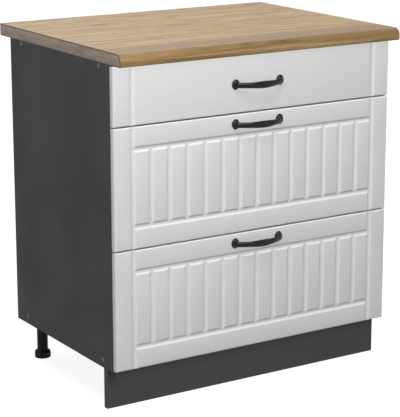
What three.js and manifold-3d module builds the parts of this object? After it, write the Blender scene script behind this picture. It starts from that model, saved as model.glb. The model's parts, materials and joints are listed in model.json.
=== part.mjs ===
// Kitchen base cabinet with three drawers, on adjustable legs, under its own length of worktop.
// Millimetres. +Z is up, the fronts face -Y, and the origin is on the floor under the worktop's middle.

import * as THREE from "three";
import { mergeVertices } from "three/addons/utils/BufferGeometryUtils.js";
import Module from "manifold-3d";

const wasm = await Module();
wasm.setup();

// Carcass
const carcassWidth = 800;
const carcassHeight = 740;
const carcassDepth = 504;
const boardThickness = 16;
const bottomRise = 11.5; // bottom panel above the lower edge of the side panels
const topRailWidth = 100;
const backThickness = 3;
const backInset = 16; // free space behind the back panel
const backGrooveDepth = 7;
const grooveClearance = 0.3;

// Screws through the side panels, each under a flat cap let in flush with the panel
const screwRadius = 2.5;
const screwLength = 50;
const screwHoleClearance = 0.3; // all round the shank and the cap
const screwCapRadius = 6;
const screwCapThickness = 0.75;
const screwCapBevel = 0.35;
const frontScrewInset = 46; // from the front edge of the side panel
const rearScrewInset = 59; // from its rear edge

// Worktop
const worktopThickness = 30;
const worktopNose = 40; // how far it stands out in front of the drawer fronts
const worktopRearOverhang = 56;
const noseTopRadius = 13;
const noseBottomRadius = 6;
const endStripThickness = 1;

// Legs and plinth
const legHeight = 100; // floor to the lower edge of the side panels
const legSideInset = 44;
const frontLegInset = 77; // from the front edge of the side panel
const rearLegInset = 51; // from its rear edge
const legTubeRadius = 14;
const legBoreRadius = 9;
const legFlangeGap = 1; // leg flange to the side panel
const legFlangeThickness = 4;
const footRadius = 22;
const footHeight = 20;
const footBevel = 2.5;
const footShoulderHeight = 16.5; // where its rim starts to slope up to the tube
const footCollar = 2.5; // how far the top of the slope stands out past the tube
const footTravel = 20; // how far a foot screws out
const stemEngagement = 35; // thread that stays in the tube with the foot screwed out
const threadClearance = 0.3;
const plinthSetback = 44; // from the front face of the fronts
const clipWall = 3;
const clipHeight = 24;
const clipCentreHeight = 58;
const clipArmWidth = 12;
const clipPlateWidth = 44;
const clipMouthAngle = Math.PI * 0.55;

// Drawer fronts
const frontThickness = 16;
const frontSetback = 2; // bumpers keep the fronts this far off the carcass
const frontSideReveal = 1.5;
const frontGap = 3;
const frontUpperReveal = 4.5;
const frontLowerReveal = 4.5;
const shallowFrontHeight = 140;
const stileWidth = 42.25;
const frameRailHeight = 45.25;
const grooveWidth = 16.5;
const grooveFloorWidth = 4.5;
const grooveDepth = 3;
const plankPitch = 50; // wanted spacing of the planks; a whole number of them fills the field

// Drawer boxes: steel sides, board base and back
const sheetThickness = 1.25;
const drawerLift = 36; // underside of a drawer box above the lower edge of its front
const shallowHeadroom = 8.5; // between the shallow box and the top rails
const deepHeadroom = 56.5; // between a deep box and the upper edge of its front
const baseFlangeWidth = 22;
const sideTopFoldWidth = 8.25;
const sideTopFoldDrop = 8;
const drawerBoardClearance = 0.3;

// Runners: nested channels, one on the carcass, one floating, one rolled into the drawer side
const runnerSpace = 12.75; // side panel to drawer side
const runnerHeight = 45;
const runnerRise = 28; // runner centre above the underside of the drawer box
const runnerSetback = 2; // from the front edge of the side panel
const runnerRearRoom = 33; // from the runner to the back panel
const runnerClearance = 0.3;
const fixedChannelDepth = 10.5;
const middleChannelOffset = 4;
const middleChannelDepth = 7.5;
const tongueGap = 0.55; // drawer side's flanges to the web of the floating channel

// Handles
const handleCentres = 128;
const handleDrop = 23.5; // below the upper edge of a deep front
const handleProjection = 30; // front face to the middle of the grip
const handleRootDepth = 11; // front face to the ends of the bow, over the rosettes
const gripHalfHeight = 8.6; // at the middle of the grip
const gripHalfDepth = 5.2;
const gripEndHalfHeight = 5.8; // and at its two ends
const gripEndHalfDepth = 4.4;
const gripSwellReach = 40; // how far the thick middle reaches to each side, along the bow
const gripSwellPower = 0.7; // below 1 makes that middle fuller
const rosetteWidthShare = 0.84; // a rosette is an upright oval
const rosetteOutline = [ // half height and distance from the front
  [0, 0],
  [12.5, 0],
  [12.75, 2.5],
  [11.25, 4.5],
  [8, 6],
  [6.25, 8.5],
  [5.75, 11],
  [5, 13.25],
  [3, 14.75],
  [0, 15.25],
];

const roundSides = 20;
const smallRoundSides = 12;
const gripStations = 16;
const arcSteps = 5;
const cutOverrun = 1; // how far a cutting solid runs past the face it opens

// Derived places
const worktopDepth = worktopNose + frontThickness + frontSetback + carcassDepth + worktopRearOverhang;
const frontFace = worktopNose - worktopDepth / 2;
const frontBack = frontFace + frontThickness;
const carcassFront = frontBack + frontSetback;
const carcassRear = carcassFront + carcassDepth;
const carcassTop = legHeight + carcassHeight;
const outerHalf = carcassWidth / 2;
const innerHalf = outerHalf - boardThickness;
const bottomUnderside = legHeight + bottomRise;
const bottomTop = bottomUnderside + boardThickness;
const railUnderside = carcassTop - boardThickness;
const backRear = carcassRear - backInset;
const backFront = backRear - backThickness;
const frontScrewPlace = carcassFront + frontScrewInset;
const rearScrewPlace = carcassRear - rearScrewInset;
const plinthFront = frontFace + plinthSetback;
const plinthRear = plinthFront + boardThickness;
const frontLegPlace = carcassFront + frontLegInset;
const rearLegPlace = carcassRear - rearLegInset;
const frontHalfWidth = outerHalf - frontSideReveal;
const lowestFrontEdge = legHeight + frontLowerReveal;
const frontStack = carcassHeight - frontLowerReveal - frontUpperReveal;
const deepFrontHeight = (frontStack - shallowFrontHeight - 2 * frontGap) / 2;
const shallowRoom = shallowFrontHeight + frontUpperReveal - boardThickness; // front's lower edge to the rails
const shallowSideHeight = shallowRoom - drawerLift - shallowHeadroom;
const deepSideHeight = deepFrontHeight - drawerLift - deepHeadroom;
const legFlangeRadius = legSideInset - boardThickness - legFlangeGap;
const runnerLength = backFront - carcassFront - runnerSetback - runnerRearRoom;
const channelStep = sheetThickness + runnerClearance;

const sides = [["left", -1], ["right", 1]];
const screwLevels = [
  ["bottom", bottomUnderside + boardThickness / 2],
  ["top", railUnderside + boardThickness / 2],
];
const screwRows = [["front", frontScrewPlace], ["rear", rearScrewPlace]];
const legRows = [["front", frontLegPlace], ["rear", rearLegPlace]];
const drawers = [
  { name: "bottom", lowerEdge: lowestFrontEdge, frontHeight: deepFrontHeight, sideHeight: deepSideHeight },
  {
    name: "middle",
    lowerEdge: lowestFrontEdge + deepFrontHeight + frontGap,
    frontHeight: deepFrontHeight,
    sideHeight: deepSideHeight,
  },
  {
    name: "top",
    lowerEdge: lowestFrontEdge + 2 * (deepFrontHeight + frontGap),
    frontHeight: shallowFrontHeight,
    sideHeight: shallowSideHeight,
    plain: true,
  },
];

// Turns that swap axes exactly
const xAxis = new THREE.Vector3(1, 0, 0);
const yAxis = new THREE.Vector3(0, 1, 0);
const zAxis = new THREE.Vector3(0, 0, 1);
const sectionToYZ = new THREE.Matrix4().makeBasis(yAxis, zAxis, xAxis);
const sectionToXZ = new THREE.Matrix4().makeBasis(xAxis, zAxis, yAxis.clone().negate());
const spinUp = sectionToYZ;
const spinForward = new THREE.Matrix4().makeBasis(xAxis.clone().negate(), yAxis.clone().negate(), zAxis);
const spinRight = new THREE.Matrix4().makeBasis(zAxis, xAxis, yAxis);
const spinLeft = new THREE.Matrix4().makeBasis(yAxis, xAxis.clone().negate(), zAxis);
const outward = (sign) => (sign < 0 ? spinLeft : spinRight);

// Geometry as a closed solid: welded corners, and no triangle that has lost an edge to the weld
function toSolid(geometry) {
  const bare = geometry.clone();
  bare.deleteAttribute("normal");
  bare.deleteAttribute("uv");
  const welded = mergeVertices(bare);
  const corners = welded.index.array;
  const kept = [];
  for (let i = 0; i < corners.length; i += 3) {
    const [a, b, c] = corners.slice(i, i + 3);
    if (a !== b && b !== c && c !== a) kept.push(a, b, c);
  }
  const mesh = new wasm.Mesh({
    numProp: 3,
    vertProperties: welded.attributes.position.array,
    triVerts: Uint32Array.from(kept),
  });
  return new wasm.Manifold(mesh);
}

function toGeometry(solid) {
  const mesh = solid.getMesh();
  const geometry = new THREE.BufferGeometry();
  geometry.setAttribute("position", new THREE.BufferAttribute(mesh.vertProperties, 3));
  geometry.setIndex(new THREE.BufferAttribute(mesh.triVerts, 1));
  geometry.computeVertexNormals();
  return geometry;
}

function cut(body, tools) {
  return toGeometry(tools.reduce((rest, tool) => rest.subtract(toSolid(tool)), toSolid(body)));
}

function join(pieces) {
  return toGeometry(pieces.map(toSolid).reduce((whole, piece) => whole.add(piece)));
}

function block(x0, x1, y0, y1, z0, z1) {
  const geometry = new THREE.BoxGeometry(x1 - x0, y1 - y0, z1 - z0);
  return geometry.translate((x0 + x1) / 2, (y0 + y1) / 2, (z0 + z1) / 2);
}

function outlineShape(points) {
  return new THREE.Shape(points.map(([a, b]) => new THREE.Vector2(a, b)));
}

function extrude(shape, length) {
  const settings = { depth: length, steps: 1, bevelEnabled: false, curveSegments: arcSteps };
  return new THREE.ExtrudeGeometry(shape, settings);
}

// A section drawn in Y and Z, run along X
function runAlongX(shape, x0, x1) {
  return extrude(shape, x1 - x0).applyMatrix4(sectionToYZ).translate(x0, 0, 0);
}

// A section drawn in X and Z, run along Y
function runAlongY(shape, y0, y1) {
  return extrude(shape, y1 - y0).applyMatrix4(sectionToXZ).translate(0, y1, 0);
}

// A profile of radius and height, from the bottom up the outside, spun about its height
function spin(profile, segments, turn) {
  const points = profile.map(([radius, height]) => new THREE.Vector2(radius, height));
  return new THREE.LatheGeometry(points, segments).applyMatrix4(turn);
}

// Finishes
const graphite = { color: 0x424242, roughness: 0.55, metalness: 0 };
const whiteFilm = { color: 0xe6e6e6, roughness: 0.35, metalness: 0 };
const oakLaminate = { color: 0xc3ae8b, roughness: 0.55, metalness: 0 };
const endBanding = { color: 0x8f7e6f, roughness: 0.6, metalness: 0 };
const backBoard = { color: 0xdcdcd8, roughness: 0.6, metalness: 0 };
const drawerBoard = { color: 0xd6d6d4, roughness: 0.5, metalness: 0 };
const greySteel = { color: 0xa4a7aa, roughness: 0.4, metalness: 0.6 };
const zincSteel = { color: 0xb8babd, roughness: 0.3, metalness: 0.9 };
const blackMetal = { color: 0x161616, roughness: 0.45, metalness: 0.3 };
const blackPlastic = { color: 0x141414, roughness: 0.5, metalness: 0 };
const greyCap = { color: 0x4a4a4a, roughness: 0.5, metalness: 0 };

const cabinet = new THREE.Group();

function addPiece(parent, name, geometry, finish, place = [0, 0, 0]) {
  const mesh = new THREE.Mesh(geometry, new THREE.MeshStandardMaterial(finish));
  mesh.name = name;
  mesh.position.set(...place);
  parent.add(mesh);
  return mesh;
}

// A stepped hole along X for a side screw: its origin lies on the outer face, as the screw's does
function screwHole(sign, place, height) {
  const shank = screwRadius + screwHoleClearance;
  const cap = screwCapRadius + screwHoleClearance;
  const profile = [
    [0, -screwLength - cutOverrun],
    [shank, -screwLength - cutOverrun],
    [shank, -screwCapThickness],
    [cap, -screwCapThickness],
    [cap, cutOverrun],
    [0, cutOverrun],
  ];
  return spin(profile, smallRoundSides, outward(sign)).translate(sign * outerHalf, place, height);
}

function sideScrewHoles(sign) {
  return screwLevels.flatMap(([, height]) => screwRows.map(([, y]) => screwHole(sign, y, height)));
}

function addCarcass(parent) {
  for (const [side, sign] of sides) {
    const [x0, x1] = sign < 0 ? [-outerHalf, -innerHalf] : [innerHalf, outerHalf];
    const panel = block(x0, x1, carcassFront, carcassRear, legHeight, carcassTop);
    const grooveFloor = sign * (innerHalf + backGrooveDepth);
    const grooveMouth = sign * (innerHalf - cutOverrun);
    const groove = block(
      Math.min(grooveFloor, grooveMouth),
      Math.max(grooveFloor, grooveMouth),
      backFront - grooveClearance,
      backRear + grooveClearance,
      legHeight - cutOverrun,
      carcassTop + cutOverrun,
    );
    addPiece(parent, `side_panel_${side}`, cut(panel, [groove, ...sideScrewHoles(sign)]), graphite);
  }
  const holes = sides.flatMap(([, sign]) => sideScrewHoles(sign));
  const bottom = block(-innerHalf, innerHalf, carcassFront, backFront, bottomUnderside, bottomTop);
  addPiece(parent, "bottom_panel", cut(bottom, holes), graphite);
  for (const [row, y] of [["front", carcassFront], ["rear", backFront - topRailWidth]]) {
    const rail = block(-innerHalf, innerHalf, y, y + topRailWidth, railUnderside, carcassTop);
    addPiece(parent, `top_rail_${row}`, cut(rail, holes), graphite);
  }
  const backHalf = innerHalf + backGrooveDepth - grooveClearance;
  const back = block(-backHalf, backHalf, backFront, backRear, bottomUnderside, carcassTop);
  addPiece(parent, "back_panel", back, backBoard);
}

function addSideScrews(parent) {
  const profile = [
    [0, -screwLength],
    [screwRadius, -screwLength],
    [screwRadius, -screwCapThickness],
    [screwCapRadius, -screwCapThickness],
    [screwCapRadius, -screwCapBevel],
    [screwCapRadius - screwCapBevel, 0],
    [0, 0],
  ];
  for (const [side, sign] of sides) {
    for (const [level, height] of screwLevels) {
      for (const [row, y] of screwRows) {
        const screw = spin(profile, smallRoundSides, outward(sign));
        addPiece(parent, `screw_${side}_${level}_${row}`, screw, greyCap, [sign * outerHalf, y, height]);
      }
    }
  }
}

function worktopSection() {
  const front = -worktopDepth / 2;
  const rear = worktopDepth / 2;
  const top = carcassTop + worktopThickness;
  const shape = new THREE.Shape();
  shape.moveTo(rear, carcassTop);
  shape.lineTo(rear, top);
  shape.lineTo(front + noseTopRadius, top);
  shape.absarc(front + noseTopRadius, top - noseTopRadius, noseTopRadius, Math.PI / 2, Math.PI, false);
  shape.lineTo(front, carcassTop + noseBottomRadius);
  const lowCentre = [front + noseBottomRadius, carcassTop + noseBottomRadius];
  shape.absarc(...lowCentre, noseBottomRadius, Math.PI, 1.5 * Math.PI, false);
  return shape;
}

function addWorktop(parent) {
  const section = worktopSection();
  addPiece(parent, "worktop", runAlongX(section, -outerHalf, outerHalf), oakLaminate);
  for (const [side, sign] of sides) {
    const inner = sign * outerHalf;
    const outer = sign * (outerHalf + endStripThickness);
    const strip = runAlongX(section, Math.min(inner, outer), Math.max(inner, outer));
    addPiece(parent, `worktop_end_strip_${side}`, strip, endBanding);
  }
}

function legTube() {
  const boreTop = footHeight + threadClearance + footTravel + stemEngagement + threadClearance;
  const boreRadius = legBoreRadius + threadClearance;
  const profile = [
    [0, boreTop],
    [boreRadius, boreTop],
    [boreRadius, footHeight + threadClearance],
    [legTubeRadius, footHeight + threadClearance],
    [legTubeRadius, bottomUnderside - legFlangeThickness],
    [legFlangeRadius, bottomUnderside - legFlangeThickness],
    [legFlangeRadius, bottomUnderside],
    [0, bottomUnderside],
  ];
  return spin(profile, roundSides, spinUp);
}

function legFoot() {
  const stemTop = footHeight + footTravel + stemEngagement;
  const profile = [
    [0, 0],
    [footRadius - footBevel, 0],
    [footRadius, footBevel],
    [footRadius, footShoulderHeight],
    [legTubeRadius + footCollar, footHeight],
    [legBoreRadius, footHeight],
    [legBoreRadius, stemTop],
    [0, stemTop],
  ];
  return spin(profile, roundSides, spinUp);
}

// Ring that snaps round the leg tube from the front, with an arm to a plate on the back of the plinth
function plinthClip(reach) {
  const inner = legTubeRadius + threadClearance;
  const outer = inner + clipWall;
  const mouth = clipMouthAngle / 2;
  const ring = new THREE.Shape();
  ring.absarc(0, 0, outer, Math.PI / 2 + mouth, Math.PI / 2 - mouth + 2 * Math.PI, false);
  ring.absarc(0, 0, inner, Math.PI / 2 - mouth + 2 * Math.PI, Math.PI / 2 + mouth, true);
  const ringSolid = new THREE.ExtrudeGeometry(ring, {
    depth: clipHeight,
    steps: 1,
    bevelEnabled: false,
    curveSegments: roundSides,
  });
  const armHalf = clipArmWidth / 2;
  const plateHalf = clipPlateWidth / 2;
  const arm = block(-armHalf, armHalf, -reach + clipWall / 2, -inner - clipWall / 2, 0, clipHeight);
  const plate = block(-plateHalf, plateHalf, -reach, -reach + clipWall, 0, clipHeight);
  return join([ringSolid, arm, plate]);
}

function addBase(parent) {
  for (const [side, sign] of sides) {
    const x = sign * (outerHalf - legSideInset);
    for (const [row, y] of legRows) {
      addPiece(parent, `leg_tube_${row}_${side}`, legTube(), blackPlastic, [x, y, 0]);
      addPiece(parent, `leg_foot_${row}_${side}`, legFoot(), blackPlastic, [x, y, 0]);
    }
    const clip = plinthClip(frontLegPlace - plinthRear);
    const clipPlace = [x, frontLegPlace, clipCentreHeight - clipHeight / 2];
    addPiece(parent, `plinth_clip_${side}`, clip, blackPlastic, clipPlace);
  }
  const plinth = block(-outerHalf, outerHalf, plinthFront, plinthRear, 0, legHeight);
  addPiece(parent, "plinth_panel", plinth, graphite);
}

// Groove of sloping walls as a solid to cut with: its section lies in X and Y, its length along Z
function grooveAlongZ(x, z0, z1) {
  const flare = (grooveWidth - grooveFloorWidth) / 2 / grooveDepth;
  const mouth = grooveWidth / 2 + flare * cutOverrun;
  const floor = grooveFloorWidth / 2;
  const section = outlineShape([
    [x - mouth, frontFace - cutOverrun],
    [x + mouth, frontFace - cutOverrun],
    [x + floor, frontFace + grooveDepth],
    [x - floor, frontFace + grooveDepth],
  ]);
  return extrude(section, z1 - z0).translate(0, 0, z0);
}

function grooveAlongX(z, x0, x1) {
  const flare = (grooveWidth - grooveFloorWidth) / 2 / grooveDepth;
  const mouth = grooveWidth / 2 + flare * cutOverrun;
  const floor = grooveFloorWidth / 2;
  const section = outlineShape([
    [frontFace - cutOverrun, z - mouth],
    [frontFace - cutOverrun, z + mouth],
    [frontFace + grooveDepth, z + floor],
    [frontFace + grooveDepth, z - floor],
  ]);
  return runAlongX(section, x0, x1);
}

// Framed front: a groove inside each stile and, unless it is plain, inside each rail and between the planks
function drawerFront(drawer) {
  const low = drawer.lowerEdge;
  const high = low + drawer.frontHeight;
  const board = block(-frontHalfWidth, frontHalfWidth, frontFace, frontBack, low, high);
  const stileGroove = frontHalfWidth - stileWidth - grooveWidth / 2;
  const grooves = sides.map(([, sign]) => {
    return grooveAlongZ(sign * stileGroove, low - cutOverrun, high + cutOverrun);
  });
  if (!drawer.plain) {
    const lowGroove = low + frameRailHeight + grooveWidth / 2;
    const highGroove = high - frameRailHeight - grooveWidth / 2;
    grooves.push(grooveAlongX(lowGroove, -stileGroove, stileGroove));
    grooves.push(grooveAlongX(highGroove, -stileGroove, stileGroove));
    const plankCount = Math.round((2 * stileGroove) / plankPitch);
    for (let i = 1; i < plankCount; i += 1) {
      const x = -stileGroove + (i * 2 * stileGroove) / plankCount;
      grooves.push(grooveAlongZ(x, lowGroove, highGroove));
    }
  }
  return cut(board, grooves);
}

// Share of the extra thickness that a grip has at a distance along the bow from its middle
function gripSwell(along) {
  const share = Math.min(Math.abs(along) / gripSwellReach, 1);
  return ((1 + Math.cos(Math.PI * share)) / 2) ** gripSwellPower;
}

// Oval bow of varying thickness, turned straight and then bent round an arc between its two rosettes
function bowHandle() {
  const half = handleCentres / 2;
  const rise = handleProjection - handleRootDepth;
  const bend = (half * half + rise * rise) / (2 * rise);
  const halfLength = bend * Math.asin(half / bend);
  const profile = [[0, -halfLength]];
  for (let i = 0; i <= gripStations; i += 1) {
    const along = halfLength * ((2 * i) / gripStations - 1);
    profile.push([gripEndHalfHeight + (gripHalfHeight - gripEndHalfHeight) * gripSwell(along), along]);
  }
  profile.push([0, halfLength]);
  const grip = spin(profile, smallRoundSides, new THREE.Matrix4());
  const position = grip.attributes.position;
  for (let i = 0; i < position.count; i += 1) {
    const along = position.getY(i);
    const angle = along / bend;
    const halfHeight = gripEndHalfHeight + (gripHalfHeight - gripEndHalfHeight) * gripSwell(along);
    const halfDepth = gripEndHalfDepth + (gripHalfDepth - gripEndHalfDepth) * gripSwell(along);
    const reach = bend + (position.getX(i) * halfDepth) / halfHeight;
    const y = bend - handleProjection - reach * Math.cos(angle);
    position.setXYZ(i, reach * Math.sin(angle), y, position.getZ(i));
  }
  const rosettes = sides.map(([, sign]) => {
    const rosette = spin(rosetteOutline, roundSides, spinForward);
    return rosette.scale(rosetteWidthShare, 1, 1).translate(sign * half, 0, 0);
  });
  return join([grip, ...rosettes]);
}

// Runner sections are drawn by their distance from the side panel and their height about the runner's centre
function channelSection(sign, near, depth, outerHeight, centre) {
  const half = outerHeight / 2;
  const web = near + sheetThickness;
  const far = near + depth;
  const outline = [
    [near, -half],
    [far, -half],
    [far, -half + sheetThickness],
    [web, -half + sheetThickness],
    [web, half - sheetThickness],
    [far, half - sheetThickness],
    [far, half],
    [near, half],
  ];
  return outlineShape(outline.map(([away, height]) => [sign * (innerHalf - away), centre + height]));
}

function runnerCentre(drawer) {
  return drawer.lowerEdge + drawerLift + runnerRise;
}

function addFixedRunners(parent, drawer) {
  const start = carcassFront + runnerSetback;
  for (const [side, sign] of sides) {
    const section = channelSection(sign, 0, fixedChannelDepth, runnerHeight, runnerCentre(drawer));
    const channel = runAlongY(section, start, start + runnerLength);
    addPiece(parent, `runner_fixed_${drawer.name}_${side}`, channel, zincSteel);
  }
}

function addMiddleRunners(parent, drawer) {
  const start = carcassFront + runnerSetback;
  const height = runnerHeight - 2 * channelStep;
  const centre = runnerCentre(drawer);
  for (const [side, sign] of sides) {
    const section = channelSection(sign, middleChannelOffset, middleChannelDepth, height, centre);
    const channel = runAlongY(section, start, start + runnerLength);
    addPiece(parent, `runner_middle_${drawer.name}_${side}`, channel, zincSteel);
  }
}

// Steel side bent from one sheet: a flange under the base, a folded top edge and two flanges for the runner
function drawerSide(sign, drawer) {
  const bottom = drawer.lowerEdge + drawerLift;
  const top = drawer.sideHeight;
  const outer = runnerSpace;
  const inner = outer + sheetThickness;
  const foldFar = outer + sheetThickness + sideTopFoldWidth;
  const tongueTip = middleChannelOffset + sheetThickness + tongueGap;
  const tongueHalf = runnerHeight / 2 - 2 * channelStep;
  const tongues = [
    [runnerRise + tongueHalf, runnerRise + tongueHalf - sheetThickness],
    [runnerRise - tongueHalf + sheetThickness, runnerRise - tongueHalf],
  ];
  const outline = [
    [outer, 0],
    [inner + baseFlangeWidth, 0],
    [inner + baseFlangeWidth, sheetThickness],
    [inner, sheetThickness],
    [inner, top - sheetThickness],
    [foldFar - sheetThickness, top - sheetThickness],
    [foldFar - sheetThickness, top - sideTopFoldDrop],
    [foldFar, top - sideTopFoldDrop],
    [foldFar, top],
    [outer, top],
  ];
  for (const [high, low] of tongues) {
    outline.push([outer, high], [tongueTip, high], [tongueTip, low], [outer, low]);
  }
  const section = outlineShape(outline.map(([away, height]) => [sign * (innerHalf - away), bottom + height]));
  return runAlongY(section, frontBack, frontBack + runnerLength);
}

function addDrawer(parent, drawer) {
  const name = `drawer_${drawer.name}`;
  addPiece(parent, `${name}_front`, drawerFront(drawer), whiteFilm);
  for (const [side, sign] of sides) {
    addPiece(parent, `${name}_side_${side}`, drawerSide(sign, drawer), greySteel);
  }
  const boxBottom = drawer.lowerEdge + drawerLift;
  const boxRear = frontBack + runnerLength;
  const boardHalf = innerHalf - runnerSpace - sheetThickness - drawerBoardClearance;
  const baseUnderside = boxBottom + sheetThickness;
  const baseTop = baseUnderside + boardThickness;
  const base = block(-boardHalf, boardHalf, frontBack, boxRear, baseUnderside, baseTop);
  addPiece(parent, `${name}_base`, base, drawerBoard);
  const backTop = boxBottom + drawer.sideHeight - sideTopFoldDrop - drawerBoardClearance;
  const back = block(-boardHalf, boardHalf, boxRear - boardThickness, boxRear, baseTop, backTop);
  addPiece(parent, `${name}_back`, back, drawerBoard);
  const handleHeight = drawer.plain ? drawer.frontHeight / 2 : drawer.frontHeight - handleDrop;
  const handlePlace = [0, frontFace, drawer.lowerEdge + handleHeight];
  addPiece(parent, `${name}_handle`, bowHandle(), blackMetal, handlePlace);
}

addCarcass(cabinet);
addSideScrews(cabinet);
addWorktop(cabinet);
addBase(cabinet);
for (const drawer of drawers) {
  addFixedRunners(cabinet, drawer);
  addMiddleRunners(cabinet, drawer);
  const box = new THREE.Group();
  addDrawer(box, drawer);
  cabinet.add(box);
}

export default cabinet;
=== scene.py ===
import json
import math

import bmesh
import bpy
from mathutils import Matrix, Vector


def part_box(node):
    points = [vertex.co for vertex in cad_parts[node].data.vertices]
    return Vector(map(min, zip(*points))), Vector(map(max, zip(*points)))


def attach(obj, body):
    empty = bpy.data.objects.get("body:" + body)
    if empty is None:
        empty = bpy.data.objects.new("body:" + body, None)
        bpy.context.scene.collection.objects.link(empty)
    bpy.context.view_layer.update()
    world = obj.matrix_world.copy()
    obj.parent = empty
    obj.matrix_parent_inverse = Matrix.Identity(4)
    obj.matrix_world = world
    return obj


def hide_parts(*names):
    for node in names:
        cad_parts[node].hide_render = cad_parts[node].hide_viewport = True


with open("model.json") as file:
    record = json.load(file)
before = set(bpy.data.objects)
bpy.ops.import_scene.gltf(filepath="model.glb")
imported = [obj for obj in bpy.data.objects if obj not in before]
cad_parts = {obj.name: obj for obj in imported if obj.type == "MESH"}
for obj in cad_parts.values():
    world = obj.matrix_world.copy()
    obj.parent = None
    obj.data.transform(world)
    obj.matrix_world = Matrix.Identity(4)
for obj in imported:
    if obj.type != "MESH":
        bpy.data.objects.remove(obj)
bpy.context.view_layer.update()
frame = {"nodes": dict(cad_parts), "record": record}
bodyOf = {node: body for body, nodes in frame["record"]["behaviour"]["bodies"].items() for node in nodes}
sides = {"left": -1, "right": 1}
drawerNames = ("bottom", "middle", "top")
mm = 0.001
print("frame loaded:", len(bodyOf), "solids")


# camera, at the photograph's viewing angle: metres and degrees, lens and sensor in millimetres
camera = {
    "place": (-2.2311, -3.5448, 1.4569),
    "tiltDown": 13.373,
    "turnRight": 32.636,
    "lens": 144.3,
    "sensor": 36.0,
    "shiftX": -0.0264,
    "shiftY": -0.06,
    "farthest": 100.0,
}


def addCamera(spec):
    data = bpy.data.cameras.new("photo_camera")
    data.lens = spec["lens"]
    data.sensor_width = spec["sensor"]
    data.shift_x = spec["shiftX"]
    data.shift_y = spec["shiftY"]
    data.clip_end = spec["farthest"]
    shot = bpy.data.objects.new("photo_camera", data)
    shot.location = spec["place"]
    shot.rotation_euler = (math.radians(90 - spec["tiltDown"]), 0, -math.radians(spec["turnRight"]))
    bpy.context.scene.collection.objects.link(shot)
    bpy.context.scene.camera = shot


addCamera(camera)


# studio: a large soft box and a small one high in front, tall ones to the left, to the right and
# at the far side, one high behind, and a white floor
studio = {
    "surroundings": 0.2,  # light from all round
    "floorSize": 60.0,
    "floorBounce": 0.1,  # share of the light that the floor throws back at the object
    "floorShadow": 0.2,  # how much of the floor's own light, and so of the shadow, the camera sees
    "floorGlow": (0.9, 1.0),  # beside the object and far from it, so that no horizon shows
    "glowReach": (1.2, 3.5),
}
frontsAim = (0.0, -0.25, 0.5)
farSideAim = (0.4, 0.0, 0.5)
middleAim = (0.0, 0.0, 0.6)
lamps = {  # place and aim in metres, width and height in metres, power in watts
    "high_soft_box": {"place": (-0.85, -1.80, 2.90), "aim": frontsAim, "size": (2.5, 1.9), "power": 74.0},
    "small_soft_box": {"place": (-0.85, -1.70, 2.90), "aim": frontsAim, "size": (0.7, 0.7), "power": 14.0},
    "left_soft_box": {"place": (-2.3, -2.6, 1.3), "aim": frontsAim, "size": (0.5, 1.6), "power": 18.0},
    "right_soft_box": {"place": (2.0, -2.7, 1.5), "aim": frontsAim, "size": (0.4, 1.4), "power": 4.0},
    "far_side_soft_box": {"place": (2.9, 0.45, 1.5), "aim": farSideAim, "size": (0.6, 1.4), "power": 22.0},
    "rear_soft_box": {"place": (0.5, 2.2, 3.4), "aim": middleAim, "size": (1.6, 1.2), "power": 43.0},
}


def addNode(tree, kind, values=None, **settings):
    node = tree.nodes.new(kind)
    for name, value in settings.items():
        setattr(node, name, value)
    for name, value in (values or {}).items():
        if isinstance(value, bpy.types.NodeSocket):
            tree.links.new(value, node.inputs[name])
        else:
            node.inputs[name].default_value = value
    return node


def calc(tree, operation, first, second=0.0, third=0.0):
    values = {0: first, 1: second, 2: third}
    return addNode(tree, "ShaderNodeMath", values, operation=operation).outputs[0]


def spread(tree, value, low, high, newLow=0.0, newHigh=1.0):
    values = {"Value": value, "From Min": low, "From Max": high, "To Min": newLow, "To Max": newHigh}
    return addNode(tree, "ShaderNodeMapRange", values, interpolation_type="SMOOTHSTEP").outputs[0]


def mixShader(tree, share, first, second):
    values = {0: share, 1: first.outputs[0], 2: second.outputs[0]}
    return addNode(tree, "ShaderNodeMixShader", values).outputs[0]


def seenDirectly(tree):
    path = addNode(tree, "ShaderNodeLightPath")
    glossy = calc(tree, "MAXIMUM", path.outputs["Is Camera Ray"], path.outputs["Is Glossy Ray"])
    return calc(tree, "MAXIMUM", glossy, path.outputs["Is Transmission Ray"])


def grey(level):
    return (level, level, level, 1.0)


def addLamp(name, spec):
    data = bpy.data.lights.new(name, "AREA")
    data.shape = "RECTANGLE"
    data.size, data.size_y = spec["size"]
    data.energy = spec["power"]
    lamp = bpy.data.objects.new(name, data)
    lamp.location = spec["place"]
    aim = Vector(spec["aim"]) - Vector(spec["place"])
    lamp.rotation_euler = aim.to_track_quat("-Z", "Y").to_euler()
    bpy.context.scene.collection.objects.link(lamp)
    return lamp


def addSurroundings(spec):
    world = bpy.data.worlds.new("studio")
    bpy.context.scene.world = world
    world.use_nodes = True
    tree = world.node_tree
    around = addNode(tree, "ShaderNodeBackground", {"Color": grey(spec["surroundings"])})
    white = addNode(tree, "ShaderNodeBackground", {"Color": grey(1.0)})
    mixed = mixShader(tree, seenDirectly(tree), around, white)
    tree.links.new(mixed, tree.nodes["World Output"].inputs["Surface"])


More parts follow.
